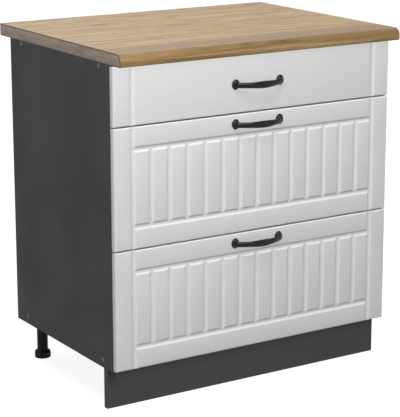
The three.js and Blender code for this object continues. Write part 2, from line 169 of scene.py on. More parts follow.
def addFloor(spec):
    half = spec["floorSize"] / 2
    corners = [(-half, -half, 0), (half, -half, 0), (half, half, 0), (-half, half, 0)]
    mesh = bpy.data.meshes.new("studio_floor")
    mesh.from_pydata(corners, [], [(0, 1, 2, 3)])
    floor = bpy.data.objects.new("studio_floor", mesh)
    bpy.context.scene.collection.objects.link(floor)
    material = bpy.data.materials.new("studio_floor")
    material.use_nodes = True
    tree = material.node_tree
    tree.nodes.clear()
    bounce = addNode(tree, "ShaderNodeBsdfDiffuse", {"Color": grey(spec["floorBounce"])})
    shade = addNode(tree, "ShaderNodeBsdfDiffuse", {"Color": grey(spec["floorShadow"])})
    place = addNode(tree, "ShaderNodeTexCoord").outputs["Object"]
    away = addNode(tree, "ShaderNodeVectorMath", {0: place}, operation="LENGTH").outputs["Value"]
    strength = spread(tree, away, *spec["glowReach"], *spec["floorGlow"])
    glow = addNode(tree, "ShaderNodeEmission", {"Color": grey(1.0), "Strength": strength})
    seen = addNode(tree, "ShaderNodeAddShader", {0: shade.outputs[0], 1: glow.outputs[0]})
    mixed = mixShader(tree, seenDirectly(tree), bounce, seen)
    output = addNode(tree, "ShaderNodeOutputMaterial")
    tree.links.new(mixed, output.inputs["Surface"])
    mesh.materials.append(material)


addSurroundings(studio)
addFloor(studio)
view = bpy.context.scene.view_settings
view.view_transform = "Standard"
lampObjects = {name: addLamp(name, spec) for name, spec in lamps.items()}
print("camera and studio placed")


# finishes: every pattern is worked out from the piece's own coordinates, in metres
noiseReach = (0.3, 0.7)  # most of a noise's values lie between these


def paint(colour):
    # sRGB numbers of 0 to 255 as the linear colour that the shader wants
    shares = [part / 255 for part in colour]
    return tuple(p / 12.92 if p <= 0.04045 else ((p + 0.055) / 1.055) ** 2.4 for p in shares) + (1.0,)


def newFinish(name, sheen, metal=0.0):
    material = bpy.data.materials.new(name)
    material.use_nodes = True
    shader = material.node_tree.nodes["Principled BSDF"]
    shader.inputs["Specular IOR Level"].default_value = sheen
    shader.inputs["Metallic"].default_value = metal
    return material, material.node_tree, shader


def ownPlace(tree, stretch=(1, 1, 1)):
    place = addNode(tree, "ShaderNodeTexCoord").outputs["Object"]
    return addNode(tree, "ShaderNodeMapping", {"Vector": place, "Scale": stretch}).outputs[0]


def noise(tree, vector, scale, detail=2.0, roughness=0.5):
    values = {"Vector": vector, "Scale": scale, "Detail": detail, "Roughness": roughness}
    return addNode(tree, "ShaderNodeTexNoise", values).outputs["Fac"]


def stretched(tree, grain, low=0.0, high=1.0):
    return spread(tree, grain, *noiseReach, low, high)


def blendColour(tree, share, first, second, mode="MIX"):
    values = {0: share, 6: first, 7: second}  # the mix node's sockets for colours
    return addNode(tree, "ShaderNodeMix", values, data_type="RGBA", blend_type=mode).outputs[2]


def setColour(tree, shader, colour):
    tree.links.new(colour, shader.inputs["Base Color"])


def setRoughness(tree, shader, roughness):
    tree.links.new(roughness, shader.inputs["Roughness"])


def addBump(tree, shader, height, distance, strength):
    bump = addNode(tree, "ShaderNodeBump", {"Height": height, "Distance": distance, "Strength": strength})
    tree.links.new(bump.outputs[0], shader.inputs["Normal"])


oakLook = {
    "sheen": 0.3,
    "pale": (171, 144, 98),
    "middle": (134, 106, 66),
    "rosy": (146, 114, 78),
    "dark": (96, 70, 39),
    "pore": (84, 61, 37),
    "knots": (  # along the worktop, across it, half length and half width, in metres
        (-0.056, -0.304, 0.009, 0.0035),
        (0.050, -0.308, 0.016, 0.0030),
        (-0.016, 0.032, 0.011, 0.0050),
        (-0.215, 0.150, 0.009, 0.0040),
        (0.205, 0.115, 0.010, 0.0040),
    ),
    "darkBandAndShade": (  # across the worktop, half width, where along it they start and are full, share of dark
        # a dark band along the nose's upper round, full over the right half of the worktop and fading out
        # towards its left end
        (-0.307, 0.009, -0.30, -0.02, 0.45),
        # painted shade: the top darker along its front strip, all along the worktop
        (-0.251, 0.055, -0.60, -0.45, 0.60),
    ),
    "noseCalm": 0.15,  # how much of the dark dashes is left on the nose
}
endBandLook = {
    "sheen": 0.3,
    "pale": (180, 163, 143),
    "middle": (161, 145, 127),
    "rosy": (158, 139, 122),
    "dark": (124, 107, 91),
    "pore": (98, 83, 70),
    "knots": (),
    "darkBandAndShade": (),
    "noseCalm": 1.0,
}
oakGrain = {  # for each pattern its scale along and across the grain, its detail and its own seed
    "bend": (1.6, 7.0, 2, 4.0),
    "broad": (1.1, 16.0, 2, 0.0),
    "band": (2.2, 80.0, 4, 7.0),
    "dash": (7.0, 62.0, 3, 11.0),
    "tick": (13.0, 120.0, 2, 17.0),
    "fibre": (16.0, 480.0, 3, 13.0),
    "pores": (90.0, 2000.0, 1, 21.0),
}
oakShares = {  # from and to of a pattern, and what these give, where that isn't 0 to 1
    "tone": (0.34, 0.62),
    "rosy": (0.50, 0.66, 0.0, 0.6),
    "dash": (0.54, 0.66, 0.0, 0.5),
    "tick": (0.55, 0.67, 0.0, 0.7),
    "fine": (0.32, 0.68, 0.80, 1.15),
    "pores": (0.64, 0.72, 0.0, 0.5),
    "noseReach": (-0.315, -0.290),  # across the worktop, in metres
    "knotCore": (0.4, 1.5, 1.0, 0.0),  # in the knot's own half widths, as the next two
    "knotHalo": (1.0, 4.5, 0.45, 0.0),
    "knotReach": (0.5, 6.0),
}
oakMixing = {
    "grainRoughness": 0.55,
    "bendBy": 0.016,  # how far the lines wander across the grain, in metres
    "bandShare": 0.75,  # of the bands in the tone, the rest is the broad pattern
    "fraying": 0.45,
    "stripeEdge": (0.4, 1.3),  # in half widths of the stripe
    "knotPush": 1.2,  # in half widths of the knot
    "knotShare": 0.85,
    "roughness": (0.42, 0.52),
    "fibreRelief": 0.6,
    "poreRelief": 1.2,
    "relief": 0.0001,
    "reliefStrength": 0.4,
}


def addKnots(tree, lengthwise, across, knots):
    # how dark the knots make each place, and the lines of the grain as they part round them
    shade = None
    for x, y, halfLength, halfWidth in knots:
        dx = calc(tree, "DIVIDE", calc(tree, "SUBTRACT", lengthwise, x), halfLength)
        dy = calc(tree, "DIVIDE", calc(tree, "SUBTRACT", across, y), halfWidth)
        squares = calc(tree, "ADD", calc(tree, "MULTIPLY", dx, dx), calc(tree, "MULTIPLY", dy, dy))
        away = calc(tree, "SQRT", squares)
        core = spread(tree, away, *oakShares["knotCore"])
        halo = spread(tree, away, *oakShares["knotHalo"])
        both = calc(tree, "MAXIMUM", core, halo)
        shade = both if shade is None else calc(tree, "MAXIMUM", shade, both)
        push = spread(tree, away, *oakShares["knotReach"], halfWidth * oakMixing["knotPush"], 0.0)
        across = calc(tree, "ADD", across, calc(tree, "MULTIPLY", push, calc(tree, "SIGN", dy)))
    return shade, across


def addDarkBandAndShade(tree, colour, lengthwise, bent, look):
    inner, outer = oakMixing["stripeEdge"]
    # each band blends towards the dark tone; in the oak the second one is painted shade along the top's
    # front strip
    for middle, half, start, full, share in look["darkBandAndShade"]:
        fromMiddle = calc(tree, "ABSOLUTE", calc(tree, "SUBTRACT", bent, middle))
        stripe = spread(tree, fromMiddle, half * inner, half * outer, share, 0.0)
        stripe = calc(tree, "MULTIPLY", stripe, spread(tree, lengthwise, start, full))
        colour = blendColour(tree, stripe, colour, paint(look["dark"]))
    return colour


def oakFinish(name, look, along, heightOfTop):
    # the grain runs along one axis, and its pattern is carried over the nose without a break
    material, tree, shader = newFinish(name, look["sheen"])
    ownCoordinates = addNode(tree, "ShaderNodeTexCoord").outputs["Object"]
    place = addNode(tree, "ShaderNodeSeparateXYZ", {0: ownCoordinates}).outputs
    lengthwise, sideways = (place["X"], place["Y"]) if along == "X" else (place["Y"], place["X"])
    across = calc(tree, "ADD", sideways, calc(tree, "SUBTRACT", place["Z"], heightOfTop))
    knotShade, across = addKnots(tree, lengthwise, across, look["knots"])

    def grain(pattern, lines):
        alongScale, acrossScale, detail, seed = oakGrain[pattern]
        values = {
            0: calc(tree, "MULTIPLY", lengthwise, alongScale),
            1: calc(tree, "MULTIPLY", lines, acrossScale),
            2: seed,
        }
        spot = addNode(tree, "ShaderNodeCombineXYZ", values).outputs[0]
        return noise(tree, spot, 1.0, detail, oakMixing["grainRoughness"])

    bent = calc(tree, "MULTIPLY_ADD", grain("bend", across), oakMixing["bendBy"], across)
    broad, fibre = grain("broad", bent), grain("fibre", bent)
    broadPart = calc(tree, "MULTIPLY", broad, 1 - oakMixing["bandShare"])
    tone = calc(tree, "MULTIPLY_ADD", grain("band", bent), oakMixing["bandShare"], broadPart)
    toneShare = spread(tree, tone, *oakShares["tone"])
    colour = blendColour(tree, toneShare, paint(look["middle"]), paint(look["pale"]))
    colour = blendColour(tree, spread(tree, broad, *oakShares["rosy"]), colour, paint(look["rosy"]))
    # a dark band on the nose's upper round, and painted shade along the top's front strip
    colour = addDarkBandAndShade(tree, colour, lengthwise, bent, look)

    # dark dashes and ticks, broken up into fibres and fainter on the nose
    calm = spread(tree, across, *oakShares["noseReach"], look["noseCalm"], 1.0)
    fraying = oakMixing["fraying"]
    frayed = calc(tree, "MULTIPLY_ADD", fibre, fraying, -fraying / 2)
    for pattern in ("dash", "tick"):
        marks = calc(tree, "ADD", grain(pattern, bent), frayed)
        share = calc(tree, "MULTIPLY", spread(tree, marks, *oakShares[pattern]), calm)
        colour = blendColour(tree, share, colour, paint(look["dark"]))

    fine = spread(tree, fibre, *oakShares["fine"])
    fineColour = addNode(tree, "ShaderNodeCombineColor", {0: fine, 1: fine, 2: fine}).outputs[0]
    colour = blendColour(tree, 1.0, colour, fineColour, "MULTIPLY")
    poreShare = spread(tree, grain("pores", bent), *oakShares["pores"])
    colour = blendColour(tree, poreShare, colour, paint(look["pore"]))
    if knotShade is not None:
        knotShare = calc(tree, "MULTIPLY", knotShade, oakMixing["knotShare"])
        colour = blendColour(tree, knotShare, colour, paint(look["pore"]))
    setColour(tree, shader, colour)
    setRoughness(tree, shader, stretched(tree, fibre, *oakMixing["roughness"]))
    raised = calc(tree, "MULTIPLY", fibre, oakMixing["fibreRelief"])
    relief = calc(tree, "SUBTRACT", raised, calc(tree, "MULTIPLY", poreShare, oakMixing["poreRelief"]))
    addBump(tree, shader, relief, oakMixing["relief"], oakMixing["reliefStrength"])
    return material


plainLooks = {  # finishes of two close tones; a noise is given as its scale, detail and roughness
    "graphite": {
        "name": "graphite_board_face", "dark": (67, 67, 68), "light": (74, 74, 75), "sheen": 0.1,
        "tone": (1400, 2), "roughness": (0.5, 0.6), "drift": (5, 3),
        "relief": (1100, 3, 0.6), "depth": 0.00005, "strength": 0.6,
    },
    "whiteFilm": {
        "name": "white_satin_film", "dark": (227, 227, 227), "light": (230, 230, 230),
        "tone": (6, 1), "evenly": True, "roughness": (0.268, 0.272), "drift": (6, 1),
        "relief": (45, 1), "depth": 0.00002, "strength": 0.1,
    },
    "whiteBack": {
        "name": "white_board_face", "dark": (214, 214, 211), "light": (222, 222, 219),
        "tone": (1100, 3), "roughness": (0.45, 0.55), "depth": 0.00004,
    },
    "bandRim": {
        "name": "band_rim_dark", "dark": (50, 41, 32), "light": (64, 53, 42),
        "tone": (300, 3), "roughness": (0.5, 0.65),
    },
    "drawerBoard": {
        "name": "drawer_board_face", "dark": (203, 204, 204), "light": (213, 214, 214),
        "tone": (1100, 3), "roughness": (0.45, 0.55), "depth": 0.00004,
    },
    "drawerSteel": {
        "name": "drawer_steel_paint", "dark": (148, 151, 154), "light": (160, 163, 166), "metal": 0.25,
        "tone": (1300, 3), "roughness": (0.36, 0.46), "depth": 0.00004, "strength": 0.5,
    },
    "zinc": {
        "name": "zinc_plate", "dark": (176, 179, 183), "light": (196, 199, 203), "metal": 0.95,
        "tone": (500, 3), "roughness": (0.26, 0.34), "depth": 0.00002, "strength": 0.08,
    },
    "blackHandle": {
        "name": "black_lacquer", "dark": (7, 7, 8), "light": (13, 13, 14), "sheen": 0.24,
        "tone": (1500, 3), "evenly": True, "roughness": (0.10, 0.13), "drift": (120, 3),
        "depth": 0.00002, "strength": 0.1,
    },
    "blackPlastic": {
        "name": "black_plastic_grain", "dark": (11, 11, 11), "light": (17, 17, 17), "sheen": 0.12,
        "tone": (1600, 3), "roughness": (0.42, 0.55), "depth": 0.00006, "strength": 0.5,
    },
    "cap": {
        "name": "grey_cap_plastic", "dark": (70, 70, 71), "light": (77, 77, 78),
        "tone": (1500, 3), "roughness": (0.4, 0.5),
    },
    "rubber": {
        "name": "bumper_rubber", "dark": (186, 188, 188), "light": (200, 202, 202),
        "tone": (900, 3), "roughness": (0.5, 0.6),
    },
}
# the plinth takes the carcass's graphite painted lighter: painted light for the plinth, which lies in shade
# under the carcass and the lowest front
plainLooks["plinthGraphite"] = {
    **plainLooks["graphite"], "name": "graphite_plinth_painted_lighter", "dark": (76, 76, 77), "light": (84, 84, 85),
}
driftSize = 12  # how much coarser than the tones the roughness drifts, where it has no noise of its own


def plainFinish(name, dark, light, tone, roughness, drift=None, relief=None, depth=0.00003, strength=0.4,
                metal=0.0, sheen=0.5, evenly=False):
    material, tree, shader = newFinish(name, sheen, metal)
    place = ownPlace(tree)
    grain = noise(tree, place, *tone)
    share = grain if evenly else stretched(tree, grain)
    setColour(tree, shader, blendColour(tree, share, paint(dark), paint(light)))
    drifting = noise(tree, place, *(drift or (tone[0] / driftSize, 2)))
    setRoughness(tree, shader, stretched(tree, drifting, *roughness))
    addBump(tree, shader, noise(tree, place, *relief) if relief else grain, depth, strength)
    return material


chipboardLook = {
    "pale": (196, 170, 128),
    "dark": (140, 110, 74),
    "chip": (112, 84, 54),
    "sheen": 0.2,
    "flatness": (1, 1, 1.8),
    "chipScale": 420.0,
    "gapNoise": (900, 3),
    "gaps": (0.58, 0.7, 0.0, 0.7),
    "roughness": (0.8, 0.95),
    "relief": 0.0003,
    "reliefStrength": 0.6,
}


def chipboardFinish(look):
    # the raw edge of the board: pressed chips that lie flat, with dark gaps between them
    material, tree, shader = newFinish("raw_chipboard", look["sheen"])
    place = ownPlace(tree)
    values = {"Vector": ownPlace(tree, look["flatness"]), "Scale": look["chipScale"]}
    chips = addNode(tree, "ShaderNodeTexVoronoi", values)
    shade = addNode(tree, "ShaderNodeSeparateColor", {0: chips.outputs["Color"]}).outputs[0]
    colour = blendColour(tree, shade, paint(look["dark"]), paint(look["pale"]))
    gaps = spread(tree, noise(tree, place, *look["gapNoise"]), *look["gaps"])
    setColour(tree, shader, blendColour(tree, gaps, colour, paint(look["chip"])))
    setRoughness(tree, shader, spread(tree, shade, 0, 1, *look["roughness"]))
    addBump(tree, shader, calc(tree, "SUBTRACT", shade, gaps), look["relief"], look["reliefStrength"])
    return material


hardboardLook = {
    "dark": (112, 82, 55),
    "light": (138, 104, 72),
    "sheen": 0.3,
    "fibre": (260, 5, 0.7),
    "cloud": (14, 3),
    "cloudShare": 0.5,
    "shade": (0.35, 0.65),
    "roughness": (0.7, 0.85),
    "weaveScale": 220.0,
    "weaveDistortion": 0.6,
    "relief": 0.00015,
    "reliefStrength": 0.5,
}


def hardboardFinish(look):
    # brown outside of the back panel, with the woven print of the press
    material, tree, shader = newFinish("brown_hardboard", look["sheen"])
    place = ownPlace(tree)
    fibre = noise(tree, place, *look["fibre"])
    cloud = noise(tree, place, *look["cloud"])
    fibrePart = calc(tree, "MULTIPLY", fibre, 1 - look["cloudShare"])
    shade = calc(tree, "MULTIPLY_ADD", cloud, look["cloudShare"], fibrePart)
    shadeShare = spread(tree, shade, *look["shade"])
    setColour(tree, shader, blendColour(tree, shadeShare, paint(look["dark"]), paint(look["light"])))
    setRoughness(tree, shader, stretched(tree, fibre, *look["roughness"]))
    values = {"Vector": place, "Scale": look["weaveScale"], "Distortion": look["weaveDistortion"]}
    weave = []
    for axis in "XZ":
        wave = addNode(tree, "ShaderNodeTexWave", values, bands_direction=axis)
        weave.append(wave.outputs["Fac"])
    addBump(tree, shader, calc(tree, "MULTIPLY", *weave), look["relief"], look["reliefStrength"])
    return material


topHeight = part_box("worktop")[1].z
finish = {key: plainFinish(**look) for key, look in plainLooks.items()}
finish["oak"] = oakFinish("oak_laminate_grain", oakLook, "X", topHeight)
finish["endBand"] = oakFinish("end_band_grain", endBandLook, "Y", topHeight)
finish["chipboard"] = chipboardFinish(chipboardLook)
finish["hardboard"] = hardboardFinish(hardboardLook)
print("finishes made:", len(finish))


# ways of making a piece
weldGap = 0.01 * mm  # points of a solid that are nearer than this are one
squareOn = 0.9  # from this share of its normal on, a face counts as looking along an axis


def addPiece(name, mesh, body, finishes, stands=(), evenShade=True):
    for material in finishes:
        mesh.materials.append(finish[material])
    piece = bpy.data.objects.new(name, mesh)
    bpy.context.scene.collection.objects.link(piece)
    if evenShade:
        weighted = piece.modifiers.new("even_shade", "WEIGHTED_NORMAL")
        weighted.keep_sharp = True
    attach(piece, body)
    if stands:
        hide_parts(*stands)


def smoothMesh(name, bm, sharpAngle=40):
    bmesh.ops.recalc_face_normals(bm, faces=bm.faces)
    mesh = bpy.data.meshes.new(name)
    bm.to_mesh(mesh)
    bm.free()
    mesh.shade_smooth()
    mesh.set_sharp_from_angle(angle=math.radians(sharpAngle))
    return mesh


def meshFrom(name, points, faces, sharpAngle=35):
    bm = bmesh.new()
    made = [bm.verts.new(p) for p in points]
    for face in faces:
        bm.faces.new([made[i] for i in face])
    return smoothMesh(name, bm, sharpAngle)


def softened(node, radius, steps=2, corner=30):
    # the solid's own shape with its corners rounded off
    bm = bmesh.new()
    bm.from_mesh(frame["nodes"][node].data)
    bmesh.ops.remove_doubles(bm, verts=bm.verts, dist=weldGap)
    bmesh.ops.dissolve_limit(bm, angle_limit=math.radians(1), verts=bm.verts, edges=bm.edges)
    sharp = math.radians(corner)
    edges = [e for e in bm.edges if len(e.link_faces) == 2 and e.calc_face_angle(0) > sharp]
    rounding = {"offset": radius, "segments": steps, "profile": 0.5, "clamp_overlap": True}
    bmesh.ops.bevel(bm, geom=edges, affect="EDGES", **rounding)
    return bm


def paintFaces(mesh, index, test):
    for face in mesh.polygons:
        if test(face.normal, face.center):
            face.material_index = index


def facing(*ways):
    # a test for faces that look along one of the ways, such as "+x" or "-y"
    signs = {"+": 1, "-": -1}
    return lambda normal, centre: any(normal["xyz".index(way[1])] * signs[way[0]] > squareOn for way in ways)


def middleOf(node):
    low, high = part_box(node)
    return (low + high) / 2


def inMetres(profile):
    return [(radius * mm, height * mm) for radius, height in profile]


def turned(profile, around, place, axis=(0, 0, 1), cross=0.0):
    # points and faces of a profile of radius and height spun round an axis; inside the radius
    # of the cross the rings are drawn in to the shape of a screwdriver's recess
    turn = Vector(axis).to_track_quat("Z", "Y").to_matrix().to_4x4()
    move = Matrix.Translation(place) @ turn
    points, faces = [], []
    rings = []
    for radius, height in profile:
        if radius <= 0:
            rings.append([len(points)])
            points.append(move @ Vector((0, 0, height)))
            continue
        rings.append(range(len(points), len(points) + around))
        for i in range(around):
            angle = 2 * math.pi * i / around
            reach = radius * (1 + 0.5 * math.cos(4 * angle)) if radius < cross else radius
            points.append(move @ Vector((reach * math.cos(angle), reach * math.sin(angle), height)))
    for low, high in zip(rings, rings[1:]):
        for i in range(around):
            j = (i + 1) % around
            if len(low) == 1:
                faces.append((low[0], high[j], high[i]))
            elif len(high) == 1:
                faces.append((low[i], low[j], high[0]))
            else:
                faces.append((low[i], low[j], high[j], high[i]))
    return points, faces


def ringed(rings):
    # points and faces of a row of closed rings with a cap at either end
    count = len(rings[0])
    points = [point for ring in rings for point in ring]
    faces = [tuple(range(count)), tuple(range(len(points) - count, len(points)))]
    for first in range(0, len(points) - count, count):
        for i in range(count):
            j = (i + 1) % count
            faces.append((first + i, first + j, first + count + j, first + count + i))
    return points, faces


def joined(parts):
    points, faces = [], []
    for morePoints, moreFaces in parts:
        start = len(points)
        points.extend(morePoints)
        faces.extend([tuple(i + start for i in face) for face in moreFaces])
    return points, faces


def addBoard(name, node, radius, finishes, takesSecond):
    # the faces that pass the test take the second finish
    mesh = smoothMesh(node, softened(node, radius))
    paintFaces(mesh, 1, takesSecond)
    addPiece(name, mesh, bodyOf[node], finishes, [node])


# carcass boards, with raw chipboard on the edges that aren't banded
boards = {
    "edgeRadius": 0.6 * mm,
    "plinthRadius": 0.9 * mm,
    "backRadius": 0.3 * mm,
}


def addBoards(spec):
    radius, board = spec["edgeRadius"], ["graphite", "chipboard"]
    for side in sides:
        node = f"side_panel_{side}"
        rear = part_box(node)[1].y - 1 * mm

        def rawEdge(normal, centre):
            return normal.z > squareOn or (normal.y > squareOn and centre.y > rear)

        addBoard(f"{side}_side_board", node, radius, board, rawEdge)
    banded, raw = facing("+x", "-x", "+y"), facing("+x", "-x", "+y", "-y")
    addBoard("floor_board", "bottom_panel", radius, board, banded)
    addBoard("front_rail", "top_rail_front", radius, board, banded)
    addBoard("rear_rail", "top_rail_rear", radius, board, raw)

    def brownSide(normal, centre):
        return normal.y > -0.5

    backFinishes, plinthFinishes = ["whiteBack", "hardboard"], ["plinthGraphite", "whiteBack"]
    addBoard("back_board", "back_panel", spec["backRadius"], backFinishes, brownSide)
    radius = spec["plinthRadius"]
    # the plinth's face takes the carcass's graphite painted lighter, as painted light
    addBoard("plinth_board", "plinth_panel", radius, plinthFinishes, facing("+y"))


addBoards(boards)
print("carcass boards made")


# worktop: one postformed section run along X, and a band glued on each end
worktop = {
    "topRadius": 17 * mm,
    "bottomRadius": 3.5 * mm,
    "leastRadius": 1 * mm,
    "bulge": 0.8 * mm,  # how far the nose swells between its two rounds
    "arcSteps": 10,
    "runs": 8,
    "rimWidth": 2.2 * mm,  # dark line round the end band
    "rimDepth": 0.45 * mm,
}


def worktopOutline(spec, inset=0.0):
    # from the lower rear edge, over the top, to the lower front; in Y and Z
    low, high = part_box("worktop")
    rear, front = high.y - inset, low.y + inset
    top, bottom = high.z - inset, low.z + inset
    upper = max(spec["topRadius"] - inset, spec["leastRadius"])
    lower = max(spec["bottomRadius"] - inset, spec["leastRadius"])
    outline = [(rear, bottom), (rear, top)]
    steps, bulge = spec["arcSteps"], spec["bulge"]
    face = front + bulge  # the arcs end behind the nose's foremost line
    for i in range(steps + 1):
        angle = math.pi / 2 * (1 + i / steps)
        outline.append((face + upper + upper * math.cos(angle), top - upper + upper * math.sin(angle)))
    flatTop, flatLow = top - upper, bottom + lower
    for i in range(1, steps):
        share = i / steps
        swell = bulge * (1 - math.sin(math.pi * share))
        outline.append((front + swell, flatTop + (flatLow - flatTop) * share))
    for i in range(steps + 1):
        angle = math.pi * (1 + 0.5 * i / steps)
        outline.append((face + lower + lower * math.cos(angle), flatLow + lower * math.sin(angle)))
    return outline


def addWorktop(spec):
    low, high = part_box("worktop")
    outline = worktopOutline(spec)
    places = [low.x + (high.x - low.x) * i / spec["runs"] for i in range(spec["runs"] + 1)]
    rings = [[(x, y, z) for y, z in outline] for x in places]
    mesh = meshFrom("worktop_board", *ringed(rings), sharpAngle=50)
    paintFaces(mesh, 1, facing("+y", "+x", "-x"))
    paintFaces(mesh, 2, facing("-z"))
    finishes = ["oak", "chipboard", "hardboard"]
    addPiece("worktop_board", mesh, bodyOf["worktop"], finishes, ["worktop"])

    inner = worktopOutline(spec, spec["rimWidth"])
    for side, sign in sides.items():
        node = f"worktop_end_strip_{side}"
        low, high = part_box(node)
        seat, face = (high.x, low.x) if sign < 0 else (low.x, high.x)
        steps = [(seat, outline), (face - sign * spec["rimDepth"], outline), (face, inner)]
        rings = [[(x, y, z) for y, z in ring] for x, ring in steps]
        mesh = meshFrom(node, *ringed(rings), sharpAngle=25)
        paintFaces(mesh, 1, lambda normal, centre: abs(normal.x) < 0.98)  # the rim and the sloped edge
        finishes = ["endBand", "bandRim"]
        addPiece(f"{side}_end_band", mesh, bodyOf[node], finishes, [node], False)


addWorktop(worktop)
print("worktop made")


# drawer fronts: a frame with soft routed grooves, and planks in the deep ones
front = {
    "edgeRound": 3.2 * mm,
    "edgeSteps": 5,
    "stile": 42.25 * mm,
    "rail": 45.25 * mm,
    "grooveWidth": 16.5 * mm,
    "grooveFloor": 4.5 * mm,
    "grooveDepth": 3.0 * mm,
    "wallSteps": 7,
    "planks": 14,
    "backRound": 0.8 * mm,
    "backBend": 0.3,  # share of the back's round at which its middle ring lies
    "leastStep": 0.02 * mm,  # lines of the grid that are nearer than this are one
    "flatness": 1e-7,  # a patch of the grid that is less uneven than this stays whole
    "weld": 0.005 * mm,
}


def grooveCut(away, spec):
    # depth of the groove at a distance from its middle line: flat floor, soft walls
    half, floor = spec["grooveWidth"] / 2, spec["grooveFloor"] / 2
    if away >= half:
        return 0.0
    share = max(away - floor, 0) / (half - floor)
    return spec["grooveDepth"] * (1 + math.cos(math.pi * share)) / 2


def edgeCut(away, spec):
    radius = spec["edgeRound"]
    if away >= radius:
        return 0.0
    return radius - math.sqrt(radius ** 2 - (radius - away) ** 2)


def gridLines(low, high, grooves, spec):
    lines = set()
    radius, steps = spec["edgeRound"], spec["edgeSteps"]
    for i in range(steps + 1):
        inward = radius * (1 - math.cos(math.pi / 2 * i / steps))
        lines.update((low + inward, high - inward))
    half, floor = spec["grooveWidth"] / 2, spec["grooveFloor"] / 2
    for middle in grooves:
        for i in range(spec["wallSteps"] + 1):
            away = floor + (half - floor) * i / spec["wallSteps"]
            lines.update((middle - away, middle + away))
    ordered = sorted(lines)
    return [a for a, b in zip(ordered, ordered[1:] + [math.inf]) if b - a > spec["leastStep"]]


def grooveLayout(drawer, low, high, spec):
    # the upright grooves as place, lower end and upper end, and the heights of the level ones
    outermost = high.x - spec["stile"] - spec["grooveWidth"] / 2
    upright = [(-outermost, low.z, high.z), (outermost, low.z, high.z)]
    if drawer == "top":
        return upright, []
    inward = spec["rail"] + spec["grooveWidth"] / 2
    level = [low.z + inward, high.z - inward]
    pitch = 2 * outermost / spec["planks"]
    upright += [(-outermost + i * pitch, *level) for i in range(1, spec["planks"])]
    return upright, level


def routedFace(bm, drawer, low, high, spec):
    # the face as a grid whose lines follow the grooves; gives back its rim, in order round it
    upright, level = grooveLayout(drawer, low, high, spec)
    outermost = upright[1][0]
    xs = gridLines(low.x, high.x, [x for x, _, _ in upright], spec)
    zs = gridLines(low.z, high.z, level, spec)

    def cutAt(x, z):
        cut = max(edgeCut(min(x - low.x, high.x - x), spec), edgeCut(min(z - low.z, high.z - z), spec))
        for place, lower, upper in upright:
            if lower <= z <= upper:
                cut = max(cut, grooveCut(abs(x - place), spec))
        if abs(x) <= outermost:
            for place in level:
                cut = max(cut, grooveCut(abs(z - place), spec))
        return cut

    grid = [[bm.verts.new((x, low.y + cutAt(x, z), z)) for z in zs] for x in xs]
    for column, nextColumn in zip(grid, grid[1:]):
        for j in range(len(zs) - 1):
            a, b, c, d = column[j], nextColumn[j], nextColumn[j + 1], column[j + 1]
            slack = (a.co.y + c.co.y) - (b.co.y + d.co.y)
            if abs(slack) < spec["flatness"]:
                bm.faces.new((a, b, c, d))
            elif slack < 0:
                bm.faces.new((a, b, c))
                bm.faces.new((a, c, d))
            else:
                bm.faces.new((a, b, d))
                bm.faces.new((b, c, d))
    lowerEdge, upperEdge = [column[0] for column in grid], [column[-1] for column in grid]
    return lowerEdge + grid[-1][1:] + upperEdge[-2::-1] + grid[0][-2:0:-1]


def closeBehind(bm, rim, low, high, spec):
    # the side walls and the back, with a small round between them
    small, before = spec["backRound"], rim
    bend = small * spec["backBend"]
    for y, inward in ((high.y - small, 0.0), (high.y - bend, bend), (high.y, small)):
        ring = []
        for vertex in rim:
            x = min(max(vertex.co.x, low.x + inward), high.x - inward)
            z = min(max(vertex.co.z, low.z + inward), high.z - inward)
            ring.append(bm.verts.new((x, y, z)))
        for i in range(len(rim)):
            j = (i + 1) % len(rim)
            bm.faces.new((before[i], before[j], ring[j], ring[i]))
        before = ring
    bm.faces.new(before)


def addFront(drawer, spec):
    node = f"drawer_{drawer}_front"
    low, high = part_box(node)
    bm = bmesh.new()
    rim = routedFace(bm, drawer, low, high, spec)
    closeBehind(bm, rim, low, high, spec)
    bmesh.ops.remove_doubles(bm, verts=bm.verts, dist=spec["weld"])
    mesh = smoothMesh(node, bm, sharpAngle=48)
    back = high.y - 0.1 * mm
    paintFaces(mesh, 1, lambda normal, centre: normal.y > squareOn and centre.y > back)
    finishes = ["whiteFilm", "whiteBack"]
    addPiece(f"{drawer}_front_board", mesh, bodyOf[node], finishes, [node], False)


for drawer in drawerNames:
    addFront(drawer, front)
print("drawer fronts made")


# bow handles: a swelling oval grip that flows out of two oval rosettes
handle = {
    "centres": 128 * mm,
    "projection": 30 * mm,
    "rootDepth": 11 * mm,
    "elbow": 8 * mm,  # how far from its rosette's middle the bow starts to turn in
    "elbowSteps": 12,
    "elbowPull": (0.55, 0.45),  # how strongly the elbow's curve keeps to the bow and to the rosette
    "flare": 4,  # the higher, the nearer to the rosette the elbow widens
    "droop": 1.5 * mm,  # the bow's middle hangs this much below its rosettes
    "halfHeight": 8.6 * mm,
    "halfDepth": 5.2 * mm,
    "endHalfHeight": 6.8 * mm,
    "endHalfDepth": 4.4 * mm,
    "swellReach": 40 * mm,
    "swellPower": 0.7,
    "rosetteWidthShare": 0.84,
    "rosette": (  # distance from the front and radius, in millimetres
        (0.0, 12.2), (0.4, 12.6), (1.3, 12.8), (2.3, 12.7), (3.1, 12.2),
        (3.8, 11.2), (4.5, 9.9), (5.3, 8.6), (6.3, 7.5),
    ),
    "around": 40,
    "stations": 48,
}


def gripSwell(along, spec):
    share = min(abs(along) / spec["swellReach"], 1)
    return ((1 + math.cos(math.pi * share)) / 2) ** spec["swellPower"]


def curveAt(t, start, one, two, end):
    # place and direction on a smooth curve that leaves the start towards one and reaches the end from two
    rest = 1 - t
    place = rest ** 3 * start + 3 * rest ** 2 * t * one + 3 * rest * t * t * two + t ** 3 * end
    slope = 3 * rest ** 2 * (one - start) + 6 * rest * t * (two - one) + 3 * t * t * (end - two)
    return place, slope.normalized()


